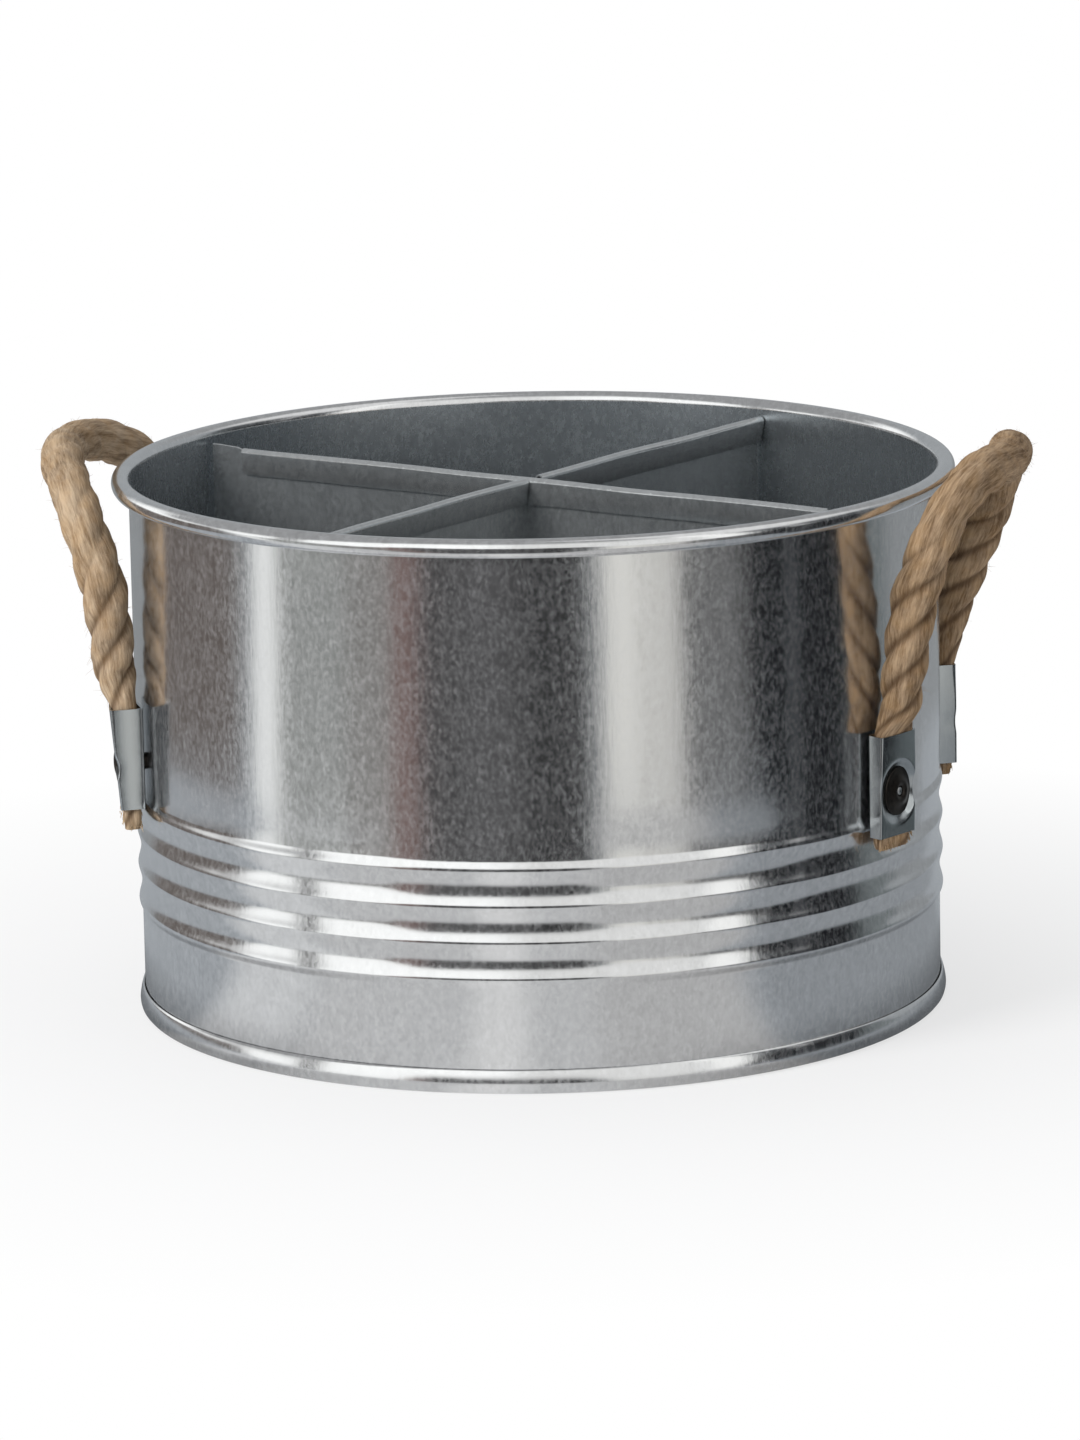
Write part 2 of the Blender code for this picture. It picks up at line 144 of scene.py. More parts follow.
# Crossed divider: two sheets with an open folded hem along their tops. The long sheet's hem stops short of its
# ends, whose bare tabs are cut away below the rivets; the cross sheet is notched at the crossing
DIVIDER_TURNS = {"divider_long": math.radians(-24), "divider_cross": math.radians(66)}
DIVIDER_FOOT = 6.3 * MM
DIVIDER_TOP = 157.2 * MM
DIVIDER_MIDDLE = 81.75 * MM
DIVIDER_END = 119.0 * MM
HEM_FOOT = 149.2 * MM
LONG_HEM_ENDS = (105.8 * MM, 104.0 * MM)
TAB_ENDS = (118.3 * MM, 119.0 * MM)
LONG_RELIEF_END = 116.2 * MM
LONG_RELIEF_TOP = 83.7 * MM
CROSS_SHEET_END = 118.7 * MM
CROSS_NOTCHES = (2.7 * MM, 4.5 * MM)
SLOT = 0.55 * MM
LONG_FOLD = 1.35 * MM
CROSS_FOLD = 1.55 * MM
LEAF_GAP = 1.0 * MM
EDGE_SOFT = 0.15 * MM
# A width of next to nothing, over which a sheet's foot or top jumps
JUMP = 0.02 * MM
# How the sheets and their hems wave, and where along its wave each sheet starts
SHEET_STEP = 4 * MM
SHEET_WAVE = 0.30 * MM
LONG_WAVE, SHORT_WAVE, UPWARD_WAVE = 17 * MM, 7.3 * MM, 40 * MM
HEM_UNEVEN, HEM_WAVE = 0.10 * MM, 11 * MM
LONG_PHASE = 0.4
CROSS_PHASE = 1.9
CROSS_BOW = -2.4 * MM
CROSS_YAW = math.radians(1.2)

# Rope: its radius, one turn of its lay and its mesh. How far down in a clamp's mouth it starts to round out, and how
# far above the clamp it is round; its play inside the sleeve; its cut tips' height, and how it is drawn in there
ROPE_RADIUS = 6.5 * MM
ROPE_LAY = 38.5 * MM
ROPE_STEP = 1.0 * MM
ROPE_SIDES = 42
ROPE_FREED = 1.5 * MM
ROPE_ROUNDS_OVER = 9.5 * MM
ROPE_SIDE_PLAY = 0.85 * MM
ROPE_FRONT_PLAY = 0.75 * MM
ROPE_TIPS = {"right": 59.2 * MM, "left": 56.6 * MM}
TIP_DRAWN = 0.88
TIP_LENGTH = 3 * MM
ROPE_DICE = {"right": 11, "left": 12}
# Between which heights each rope's strands give way to a fuzzy crown
ROPE_SOFTENS = {"right": (130 * MM, 162 * MM), "left": (118 * MM, 152 * MM)}
# How far three strands' middles lie from the rope's, as a share of its radius, where they show and in the crown
STRAND_CENTRE = 0.31
CROWN_CENTRE = 0.20
# The lay opens by this share between these heights over a clamp, and closes again towards the crown
LAY_OPENS = 0.07
LAY_OPENS_OVER = (8 * MM, 34 * MM)
LAY_CLOSES = (148 * MM, 160 * MM)
# Between which heights over a clamp it loses the sleeve's square outline
SQUARE_OVER = (-2 * MM, 6 * MM)
# How far its twist drifts, and how much it swells, ripples and lumps, each with its wave's length
TWIST_DRIFT, TWIST_WAVE = 0.4, 31 * MM
SWELL, SWELL_WAVE = 0.025, 8.3 * MM
RIPPLE, RIPPLE_WAVE = 0.015, 3.7 * MM
LUMP, LUMP_WAVE = 0.015, 2.9 * MM
# How square its outline is inside a sleeve
SQUARENESS = 5
# Loose hairs along the rope, and those round its cut ends
FUZZ_COUNT = 420
FUZZ_THICKNESS = 0.05 * MM
FRAY_COUNT = 420
FRAY_HALF_WIDTH = 7.0 * MM
HAIR_CORNERS = (0, 2.1, 4.2)

# Zinc's grain: how much its crystals and clouds weigh beside its finest grain, how strongly they change its tone,
# roughness and surface, and from which grain to which its flecks grow
CRYSTAL_SHARE = 0.4
CLOUD_SHARE = 0.8
TONE_SWING = 0.20
ROUGHNESS_SWING = 0.12
FINE_HEIGHT = 0.25
WAVE_HEIGHT = 12.0
FLECK_RANGE = (-0.24, 0.36)
# How far grain and fibres are drawn out along their length, and how much tufts count beside single hairs
DRAWN_OUT = (1.0, 1.0, 0.16)
TUFT_SHARE = 0.45
JUTE_WARM = (0.50, 0.30, 0.13)
RUBBED_BRIGHTER = 2.2


# Small helpers for meshes


def smooth_share(value, low, high):
    """0 below low, 1 above high, and a smooth rise between."""
    share = min(max((value - low) / (high - low), 0.0), 1.0)
    return share * share * (3 - 2 * share)


def mix(a, b, share):
    """A value between a and b."""
    return a + (b - a) * share


def arc(centre_across, centre_up, radius, start, end, steps):
    """Points of an arc in a section, both ends among them."""
    points = []
    for i in range(steps + 1):
        angle = mix(start, end, i / steps)
        points.append((centre_across + radius * math.cos(angle), centre_up + radius * math.sin(angle)))
    return points


def add_mesh(name, bm, material, sharp=math.radians(40)):
    """Makes a smooth-shaded object of a bmesh, with its faces pointing out."""
    bmesh.ops.recalc_face_normals(bm, faces=bm.faces)
    mesh = bpy.data.meshes.new(name)
    bm.to_mesh(mesh)
    bm.free()
    mesh.shade_smooth()
    mesh.set_sharp_from_angle(angle=sharp)
    mesh.materials.append(material)
    piece = bpy.data.objects.new(name, mesh)
    bpy.context.scene.collection.objects.link(piece)
    return piece


def turned(outline, steps):
    """Turns a closed outline of (radius, height) points round the Z axis."""
    bm = bmesh.new()
    rings = []
    for i in range(steps):
        angle = math.tau * i / steps
        across = Vector((math.cos(angle), math.sin(angle), 0))
        rings.append([bm.verts.new(across * radius + Vector((0, 0, height))) for radius, height in outline])
    for i in range(steps):
        here, there = rings[i], rings[(i + 1) % steps]
        for j in range(len(outline)):
            k = (j + 1) % len(outline)
            bm.faces.new((here[j], there[j], there[k], here[k]))
    return bm


def skinned(bm, rings, joined_ends=False):
    """Joins rings of points with faces, closes the ends or joins them, and returns the rings' vertices."""
    loops = [[bm.verts.new(point) for point in ring] for ring in rings]
    following = loops[1:] + (loops[:1] if joined_ends else [])
    for lower, upper in zip(loops, following):
        for i in range(len(lower)):
            j = (i + 1) % len(lower)
            bm.faces.new((lower[i], lower[j], upper[j], upper[i]))
    if not joined_ends:
        bm.faces.new(loops[0])
        bm.faces.new(loops[-1])
    return loops


# Small helpers for materials


def feed(tree, socket, value):
    """Gives an input a value, or a link from another node's output."""
    if isinstance(value, bpy.types.NodeSocket):
        tree.links.new(value, socket)
    else:
        socket.default_value = value


def add_node(tree, kind, settings=None, **values):
    """Adds a node, sets its properties and feeds its inputs, given by name or by number as i0, i1 and so on."""
    node = tree.nodes.new(kind)
    for name, value in (settings or {}).items():
        setattr(node, name, value)
    for name, value in values.items():
        feed(tree, node.inputs[int(name[1:]) if name[1:].isdigit() else name.replace("_", " ")], value)
    return node


def maths(tree, operation, a, b=0.0, c=0.0):
    """The result of a sum on values or sockets."""
    return add_node(tree, "ShaderNodeMath", {"operation": operation}, i0=a, i1=b, i2=c).outputs[0]


def scaled(tree, place, scale):
    """A place multiplied part by part, which draws out the texture on it."""
    return add_node(tree, "ShaderNodeVectorMath", {"operation": "MULTIPLY"}, i0=place, i1=scale).outputs[0]


def blended(tree, share, a, b):
    """A colour between a and b."""
    a, b = (colour if isinstance(colour, bpy.types.NodeSocket) else (*colour, 1.0) for colour in (a, b))
    return add_node(tree, "ShaderNodeMix", {"data_type": "RGBA"}, i0=share, i6=a, i7=b).outputs[2]


def remap(tree, value, low, high, to_low=0.0, to_high=1.0, smooth=False):
    """A value taken from one range to another, straight or easing in and out."""
    kind = {"interpolation_type": "SMOOTHSTEP" if smooth else "LINEAR"}
    ends = {"From_Min": low, "From_Max": high, "To_Min": to_low, "To_Max": to_high}
    return add_node(tree, "ShaderNodeMapRange", kind, Value=value, **ends).outputs[0]


def clouded(tree, place, scale, detail, roughness=0.5):
    """A cloudy pattern, from 0 to 1."""
    node = add_node(tree, "ShaderNodeTexNoise", None, Vector=place, Scale=scale, Detail=detail, Roughness=roughness)
    return node.outputs[0]


def give_relief(tree, shader, height, distance, strength=1.0):
    """Gives a shader a fine relief of its surface."""
    relief = add_node(tree, "ShaderNodeBump", None, Strength=strength, Distance=distance, Height=height)
    feed(tree, shader.inputs["Normal"], relief.outputs[0])


def new_group(name, inputs, outputs):
    """A shader node group with the named sockets. Returns the group and its input and output nodes."""
    group = bpy.data.node_groups.new(name, "ShaderNodeTree")
    for label, kind, value in inputs:
        socket = group.interface.new_socket(label, in_out="INPUT", socket_type=kind)
        socket.default_value = value
    for label, kind in outputs:
        group.interface.new_socket(label, in_out="OUTPUT", socket_type=kind)
    return group, group.nodes.new("NodeGroupInput"), group.nodes.new("NodeGroupOutput")


def place_group(tree, group, **values):
    """Places a node group in a material with the material's own values."""
    return add_node(tree, "ShaderNodeGroup", {"node_tree": group}, **values)


def new_material(name):
    """A material with a Principled shader. Returns the material, its tree and the shader."""
    material = bpy.data.materials.new(name)
    material.use_nodes = True
    return material, material.node_tree, material.node_tree.nodes["Principled BSDF"]


def zinc_grain_group():
    """Zinc's frosty grain: small upright flecks and slow waves of the sheet."""
    group, inside, out = new_group(
        "zinc_grain",
        [(label, "NodeSocketFloat", value) for label, value in (("Grain", 1.0), ("Waves", 1.0), ("Stretch", 0.6))],
        [(label, "NodeSocketFloat") for label in ("Tone", "Fleck", "Rough", "Height")],
    )
    place = add_node(group, "ShaderNodeTexCoord").outputs["Object"]
    stretch = add_node(group, "ShaderNodeCombineXYZ", None, X=1.0, Y=1.0, Z=inside.outputs["Stretch"]).outputs[0]
    streaked = scaled(group, place, stretch)
    drawn = scaled(group, place, DRAWN_OUT)
    crystal = add_node(group, "ShaderNodeTexVoronoi", None, Vector=streaked, Scale=1350.0)
    crystal_tone = add_node(group, "ShaderNodeSeparateXYZ", None, Vector=crystal.outputs["Color"]).outputs[0]
    fine = clouded(group, streaked, 700.0, 2.0, 0.6)
    cloud = clouded(group, streaked, 230.0, 3.0, 0.6)
    streak = clouded(group, drawn, 520.0, 2.0, 0.6)
    slow = clouded(group, place, 20.0, 1.0, 0.4)
    grain = inside.outputs["Grain"]
    fine_noise = maths(group, "SUBTRACT", fine, 0.5 + CRYSTAL_SHARE / 2)
    fine_tone = maths(group, "MULTIPLY_ADD", crystal_tone, CRYSTAL_SHARE, fine_noise)
    cloud_tone = maths(group, "SUBTRACT", cloud, 0.5)
    streak_tone = maths(group, "SUBTRACT", streak, 0.5)
    mixed = maths(group, "MULTIPLY_ADD", cloud_tone, CLOUD_SHARE, fine_tone)
    tone_swing = maths(group, "MULTIPLY", grain, TONE_SWING)
    slow_height = maths(group, "MULTIPLY", slow, inside.outputs["Waves"])
    fine_height = maths(group, "MULTIPLY", maths(group, "MULTIPLY_ADD", fine_tone, FINE_HEIGHT, streak_tone), grain)
    for name, value in (
        ("Tone", maths(group, "MULTIPLY_ADD", mixed, tone_swing, 1.0)),
        ("Fleck", remap(group, fine_tone, *FLECK_RANGE)),
        ("Rough", maths(group, "MULTIPLY", mixed, grain)),
        ("Height", maths(group, "MULTIPLY_ADD", slow_height, WAVE_HEIGHT, fine_height)),
    ):
        group.links.new(value, out.inputs[name])
    return group


def galvanized(name, tint, roughness, grain, waves, bump, metal=1.0, frost=0.05):
    """Zinc-dipped sheet: bright metal with a fine grain in its tone, its frost, its roughness and its surface."""
    material, tree, shader = new_material(name)
    zinc = place_group(tree, zinc_grain, Grain=grain, Waves=waves)
    toned = add_node(tree, "ShaderNodeVectorMath", {"operation": "SCALE"}, i0=tint, Scale=zinc.outputs["Tone"])
    feed(tree, shader.inputs["Base Color"], toned.outputs[0])
    give_relief(tree, shader, zinc.outputs["Height"], bump)
    rough = maths(tree, "MULTIPLY_ADD", zinc.outputs["Rough"], ROUGHNESS_SWING, roughness)
    feed(tree, shader.inputs["Roughness"], rough)
    frosted = maths(tree, "MULTIPLY_ADD", zinc.outputs["Fleck"], -frost, metal) if frost else metal
    feed(tree, shader.inputs["Metallic"], frosted)
    return material


def rope_fibre(name, light, dark, crease_shade):
    """Jute: fine fibres that run nearly along the rope, with painted shade that darkens the creases between its
    strands.
    """
    material, tree, shader = new_material(name)
    place = add_node(tree, "ShaderNodeAttribute", {"attribute_name": "along_rope"}).outputs["Vector"]
    crest = add_node(tree, "ShaderNodeAttribute", {"attribute_name": "crest"}).outputs["Fac"]
    drawn = scaled(tree, place, DRAWN_OUT)
    hair = clouded(tree, drawn, 1500.0, 4.0, 0.7)
    tuft = clouded(tree, drawn, 420.0, 2.0, 0.6)
    patch = clouded(tree, place, 170.0, 2.0, 0.6)
    single = maths(tree, "MULTIPLY", hair, 1 - TUFT_SHARE)
    mixed = maths(tree, "MULTIPLY_ADD", tuft, TUFT_SHARE, single)
    base = blended(tree, remap(tree, mixed, 0.38, 0.62), dark, light)
    warm = blended(tree, remap(tree, patch, 0.4, 0.7, 0.0, 0.3), base, JUTE_WARM)
    # Painted shade: the colour darkens from the strands' crests into the creases between them
    painted_crease_shade = remap(tree, crest, 0.0, 0.50, 0.72, 0.0, smooth=True)
    feed(tree, shader.inputs["Base Color"], blended(tree, painted_crease_shade, warm, crease_shade))
    give_relief(tree, shader, mixed, 0.5 * MM)
    shader.inputs["Roughness"].default_value = 0.9
    shader.inputs["Specular IOR Level"].default_value = 0.2
    return material


def loose_fibre(name, light, dark):
    """Single jute hairs and cut ends, golden and a little brighter than the laid rope."""
    material, tree, shader = new_material(name)
    place = add_node(tree, "ShaderNodeTexCoord").outputs["Object"]
    patch = clouded(tree, place, 900.0, 2.0)
    share = remap(tree, patch, 0.35, 0.65)
    feed(tree, shader.inputs["Base Color"], blended(tree, share, dark, light))
    shader.inputs["Roughness"].default_value = 0.7
    return material


def rivet_coat(name, colour, roughness, metallic):
    """A rivet's dark or bright metal, rubbed and a little uneven."""
    material, tree, shader = new_material(name)
    place = add_node(tree, "ShaderNodeTexCoord").outputs["Object"]
    rub = clouded(tree, place, 700.0, 3.0, 0.6)
    worn = tuple(RUBBED_BRIGHTER * part for part in colour)
    toned = blended(tree, remap(tree, rub, 0.4, 0.75, 0.0, 0.5), colour, worn)
    uneven = remap(tree, rub, 0.3, 0.7, roughness - 0.06, roughness + 0.08)
    feed(tree, shader.inputs["Base Color"], toned)
    feed(tree, shader.inputs["Roughness"], uneven)
    give_relief(tree, shader, rub, 0.05 * MM, strength=0.5)
    shader.inputs["Metallic"].default_value = metallic
    return material


# Camera, light and stage


def turned_view(x, y, z):
    """A vector given in the camera's own turn, +X to the right and -Y towards the camera, in the shared frame."""
    return Matrix.Rotation(VIEW_AZIMUTH, 3, "Z") @ Vector((x, y, z))


def add_camera():
    """The camera, standing and rolled as the photograph's."""
    ahead = turned_view(0, math.cos(VIEW_ELEVATION), -math.sin(VIEW_ELEVATION))
    level = turned_view(1, 0, 0)
    above = level.cross(ahead)
    right = math.cos(VIEW_ROLL) * level + math.sin(VIEW_ROLL) * above
    up = right.cross(ahead)
    turn = Matrix((right, up, -ahead)).transposed().to_4x4()
    data = bpy.data.cameras.new("photo_camera")
    data.sensor_width = SENSOR_WIDTH
    data.lens = FOCAL_PIXELS * SENSOR_WIDTH / FRAME_HEIGHT
    data.clip_start = 0.05
    camera = bpy.data.objects.new("photo_camera", data)
    camera.matrix_world = Matrix.Translation(VIEW_TARGET - VIEW_DISTANCE * ahead) @ turn
    bpy.context.scene.collection.objects.link(camera)
    bpy.context.scene.camera = camera


def add_softbox(name, place, size, power):
    """A square soft lamp that faces the tub. It lights the object, and the studio's walls are what metal mirrors."""
    data = bpy.data.lights.new(name, "AREA")
    data.size = size
    data.energy = power
    lamp = bpy.data.objects.new(name, data)
    lamp.location = turned_view(*place)
    aim = LAMP_AIM - lamp.location
    lamp.rotation_euler = aim.to_track_quat("-Z", "Y").to_euler()
    lamp.visible_glossy = False
    bpy.context.scene.collection.objects.link(lamp)


# The studio's light on what isn't metal
STUDIO_LIGHT = (0.40, 0.41, 0.43)
# What stands round the studio and shows only in metal. Each has its middle, in degrees to the right of the
# camera, half its width, the width of its soft edge, and its colour
STUDIO_BEHIND = (0.28, 0.295, 0.305)
STUDIO_ROUND = (
    (-118, 24, 10, (0.145, 0.125, 0.115)),
    (-62, 22, 8, (0.31, 0.32, 0.31)),
    (-48, 8, 6, (0.255, 0.25, 0.24)),
    (-83.5, 4.5, 7, (1.0, 1.01, 1.0)),
    (-37, 5, 4, (0.22, 0.155, 0.145)),
    (-10, 24, 7, (0.075, 0.075, 0.076)),
    (-15, 5, 8, (0.10, 0.10, 0.102)),
    (5, 8, 7, (0.042, 0.042, 0.043)),
    (52, 26, 12, (0.15, 0.15, 0.15)),
    (71, 10, 8, (0.045, 0.045, 0.046)),
    (30, 11.5, 6, (0.66, 0.65, 0.62)),
    (24, 4, 5, (0.86, 0.85, 0.81)),
    (86, 21, 8, (0.012, 0.013, 0.015)),
    (78, 1.5, 2, (0.09, 0.095, 0.10)),
    (110, 9, 12, (0.16, 0.18, 0.185)),
)
# The windows over them
WINDOWS_BEHIND = (0.355, 0.375, 0.39)
WINDOWS_ROUND = (
    (-72, 70, 16, (1.2, 1.21, 1.2)),
    (-69, 3.5, 3, (0.22, 0.22, 0.22)),
    (-98, 5, 8, (0.7, 0.7, 0.7)),
    (20, 28, 16, (0.85, 0.85, 0.84)),
    (54, 7, 6, (1.15, 1.15, 1.13)),
    (86, 24, 8, (0.08, 0.085, 0.09)),
    (78, 2, 2, (0.6, 0.6, 0.6)),
)
# How high the studio's dark things reach under the windows, as the sine of an angle
WINDOW_SILL = 0.0
SILL_SOFTNESS = 0.05
SILLS_ROUND = ((-118, 26, 12, 0.10), (-60, 30, 12, -0.12), (-12, 28, 16, 0.15), (86, 26, 10, 0.20))
# The ceiling, from which height it starts in each direction, and over how much it fades in
CEILING = (0.33, 0.335, 0.34)
CEILINGS = ((88, 34, 20, (0.80, 0.80, 0.80)),)
CEILING_START = 0.34
CEILING_STARTS = ((-95, 28, 20, 0.08), (10, 60, 30, 0.70), (92, 30, 14, 0.42))
CEILING_FADE = 0.26

# The table: half its size, how far under the tub it lies, its colour, and between which distances from the tub's
# axis it whitens for the camera, with its share of white at each
TABLE_HALF = 4.0
TABLE_DROP = 0.2 * MM
TABLE_COLOUR = (0.82, 0.82, 0.82)
TABLE_WHITENS = (0.13, 0.34, 0.68, 1.0)
# The table's brightness and reach in metal, by the same degrees round the tub
TABLE_GREY = (0.37, 0.395, 0.42)
TABLE_ROUND = (
    (-58, 12, 10, (0.66, 0.67, 0.68)),
    (-16, 32, 12, (0.56, 0.565, 0.57)),
    (-8, 5, 7, (0.74, 0.74, 0.74)),
    (26, 16, 10, (0.49, 0.49, 0.49)),
    (82, 38, 12, (0.285, 0.305, 0.325)),
)
# The table's shade close to the tub, darker at its sides than in front, and between which distances it ends
TABLE_SHADE = 0.42
TABLE_SHADE_ENDS = (0.124, 0.160)
TABLE_SHADES = ((-6, 34, 40, 1.0),)
TABLE_EDGE = 0.04
TABLE_REACH = 0.44
TABLE_REACHES = (
    (-112, 30, 20, 0.43),
    (-55, 20, 12, 0.38),
    (-12, 24, 10, 0.262),
    (92, 30, 16, 0.27),
    (45, 12, 14, 0.43),
)


def around(tree, angle, base, pieces):
    """What lies in the direction of an angle: the base, with each piece laid over it in turn."""
    seen = base
    for middle, half, soft, value in pieces:
        away = maths(tree, "ABSOLUTE", maths(tree, "SUBTRACT", angle, math.radians(middle)))
        share = remap(tree, away, math.radians(half + soft / 2), math.radians(half - soft / 2), smooth=True)
        if isinstance(value, tuple):
            seen = blended(tree, share, seen, value)
        else:
            seen = add_node(tree, "ShaderNodeMix", {"data_type": "FLOAT"}, i0=share, i2=seen, i3=value).outputs[0]
    return seen


def view_angle(tree, way):
    """The angle of a vector round the tub, to the right of the camera, and the vector's parts."""
    turn = add_node(tree, "ShaderNodeVectorRotate", {"rotation_type": "Z_AXIS"}, Vector=way, Angle=-VIEW_AZIMUTH)
    parts = add_node(tree, "ShaderNodeSeparateXYZ", None, Vector=turn.outputs[0])
    return maths(tree, "ARCTAN2", parts.outputs[0], maths(tree, "MULTIPLY", parts.outputs[1], -1.0)), parts


def studio_walls():
    """The world: white behind the tub for the camera, soft grey light, and the studio that metal mirrors."""
    world = bpy.data.worlds.new("studio")
    world.use_nodes = True
    bpy.context.scene.world = world
    tree = world.node_tree
    tree.nodes.clear()
    angle, parts = view_angle(tree, add_node(tree, "ShaderNodeTexCoord").outputs["Generated"])
    rise = parts.outputs[2]
    low = around(tree, angle, STUDIO_BEHIND, STUDIO_ROUND)
    windows = around(tree, angle, WINDOWS_BEHIND, WINDOWS_ROUND)
    ceiling = around(tree, angle, CEILING, CEILINGS)
    over_sill = maths(tree, "SUBTRACT", rise, around(tree, angle, WINDOW_SILL, SILLS_ROUND))
    walls = blended(tree, remap(tree, over_sill, -SILL_SOFTNESS, SILL_SOFTNESS, smooth=True), low, windows)
    over_walls = maths(tree, "SUBTRACT", rise, around(tree, angle, CEILING_START, CEILING_STARTS))
    mirrored = blended(tree, remap(tree, over_walls, 0.0, CEILING_FADE, smooth=True), walls, ceiling)
    path = add_node(tree, "ShaderNodeLightPath")
    soft = blended(tree, path.outputs["Is Glossy Ray"], STUDIO_LIGHT, mirrored)
    seen = blended(tree, path.outputs["Is Camera Ray"], soft, (1, 1, 1))
    background = add_node(tree, "ShaderNodeBackground", None, Color=seen, Strength=1.0)
    output = tree.nodes.new("ShaderNodeOutputWorld")
    tree.links.new(background.outputs[0], output.inputs[0])


def mixed_shaders(tree, share, a, b):
    """A shader between a and b."""
    return add_node(tree, "ShaderNodeMixShader", None, i0=share, i1=a, i2=b).outputs[0]


def add_table():
    """The pale table top. Metal sees it only near the tub, and the studio's walls beyond it."""
    material = bpy.data.materials.new("table_top")
    material.use_nodes = True
    tree = material.node_tree
    tree.nodes.clear()
    place = add_node(tree, "ShaderNodeTexCoord").outputs["Object"]
    reach = add_node(tree, "ShaderNodeVectorMath", {"operation": "LENGTH"}, i0=place).outputs["Value"]
    path = add_node(tree, "ShaderNodeLightPath")
    lit = add_node(tree, "ShaderNodeBsdfDiffuse", None, Color=(*TABLE_COLOUR, 1)).outputs[0]
    white = add_node(tree, "ShaderNodeEmission", None, Color=(1, 1, 1, 1), Strength=1.0).outputs[0]
    for_camera = mixed_shaders(tree, remap(tree, reach, *TABLE_WHITENS), lit, white)
    angle, _ = view_angle(tree, place)
    shade = around(tree, angle, TABLE_SHADE, TABLE_SHADES)
    close = remap(tree, reach, *TABLE_SHADE_ENDS, shade, 1.0)
    grey = around(tree, angle, TABLE_GREY, TABLE_ROUND)
    pale = add_node(tree, "ShaderNodeEmission", None, Color=grey, Strength=close).outputs[0]
    gone = tree.nodes.new("ShaderNodeBsdfTransparent").outputs[0]
    past = maths(tree, "SUBTRACT", reach, around(tree, angle, TABLE_REACH, TABLE_REACHES))
    for_metal = mixed_shaders(tree, remap(tree, past, -TABLE_EDGE, TABLE_EDGE, smooth=True), pale, gone)
    plain = mixed_shaders(tree, path.outputs["Is Glossy Ray"], lit, for_metal)
    whole = mixed_shaders(tree, path.outputs["Is Camera Ray"], plain, for_camera)
    output = tree.nodes.new("ShaderNodeOutputMaterial")
    tree.links.new(whole, output.inputs[0])
    bm = bmesh.new()
    corners = ((-1, -1), (1, -1), (1, 1), (-1, 1))
    bm.faces.new([bm.verts.new((x * TABLE_HALF, y * TABLE_HALF, -TABLE_DROP)) for x, y in corners])
    add_mesh("table_top", bm, material)


# Tub


def wall_line():
    """(radius, height) of the wall's outer face, from its foot to above the top rib."""
    line = [(BAND_RADIUS, WALL_FOOT)]
    low, top = CREST_HEIGHTS[0], CREST_HEIGHTS[-1]
    crest, dipped = WALL_RADIUS + CREST_RISE, WALL_RADIUS - TOP_DIP
    for i in range(SHOULDER_STEPS):
        share = i / SHOULDER_STEPS
        line.append((mix(BAND_RADIUS, crest, smooth_share(share, 0, 1)), low - CREST_SHOULDER * (1 - share)))
    for lower, upper in zip(CREST_HEIGHTS, CREST_HEIGHTS[1:]):
        for i in range(FLUTE_STEPS):
            share = i / FLUTE_STEPS
            hollow = max(math.sin(math.pi * share), 0.0)
            rounded = math.sqrt(hollow * hollow + CREST_ROUND**2) - CREST_ROUND
            line.append((crest - FLUTE_DEPTH * rounded / (1 - CREST_ROUND), mix(lower, upper, share)))
    for i in range(SHOULDER_STEPS + 1):
        share = i / SHOULDER_STEPS
        line.append((mix(crest, dipped, smooth_share(share, 0, 1)), top + TOP_SHOULDER * share))
    for i in range(1, DIP_STEPS + 1):
        share = i / DIP_STEPS
        line.append((mix(dipped, WALL_RADIUS, smooth_share(share, 0, 1)), top + TOP_SHOULDER + TOP_DIP_REACH * share))
    return line


def make_wall(material, shaded_inside_material):
    """The rolled sheet wall with its pressed ribs and its rolled rim, its inner face in a darker zinc as painted
    shade.
    """
    outer = wall_line()
    inner_radius = WALL_RADIUS - SHEET
    centre = inner_radius + CURL_RADIUS
    height = WALL_HEIGHT - CURL_RADIUS
    outline = [(radius - SHEET, up) for radius, up in outer]
    inner_count = len(outline)
    outline += arc(centre, height, CURL_RADIUS, math.pi, CURL_END, 30)
    outline += arc(centre, height, CURL_RADIUS - SHEET, CURL_END, math.pi, 16)
    outline += outer[::-1]
    bm = turned(outline, TURN_STEPS)
    # Faces of the inner outline take the darker inside zinc, which is painted shade
    for index, face in enumerate(bm.faces):
        face.material_index = 1 if index % len(outline) < inner_count else 0
    wall = add_mesh("tub_wall_sheet", bm, material, math.radians(24))
    wall.data.materials.append(shaded_inside_material)
    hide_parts("tub_wall")
    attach(wall, "tub")


def make_base(material):
    """The pan: its floor, its upstand inside the wall and the rolled seam outside."""
    inside = BAND_RADIUS - SHEET - PAN_FIT
    outside = BAND_RADIUS + PAN_FIT
    corner = PAN_CORNER
    outline = [(AXIS, PAN_FLOOR), (inside - SHEET - 2 * corner, PAN_FLOOR)]
    outline += arc(inside - SHEET - corner, PAN_FLOOR - corner, corner, math.pi / 2, 0, 5)[1:]
    outline += [(inside - SHEET, 0.0)]
    outline += arc(SEAM_OUT - 1.5 * corner, corner, corner, -math.pi / 2, -math.pi / 5, 5)
    outline += [(SEAM_OUT - back * MM, up * MM) for back, up in SEAM_FACE]
    outline += [(outside + 0.12 * MM, SEAM_HEIGHT), (outside, SEAM_HEIGHT - 0.1 * MM)]
    outline += [(outside, SHEET), (inside, SHEET)]
    outline += arc(inside - corner, PAN_FLOOR + SHEET - corner, corner, 0, math.pi / 2, 5)
    outline += [(AXIS, PAN_FLOOR + SHEET)]
    pan = add_mesh("base_pan_sheet", turned(outline, TURN_STEPS), material, math.radians(30))
    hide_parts("base_pan")
    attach(pan, "tub")


# Crossed divider


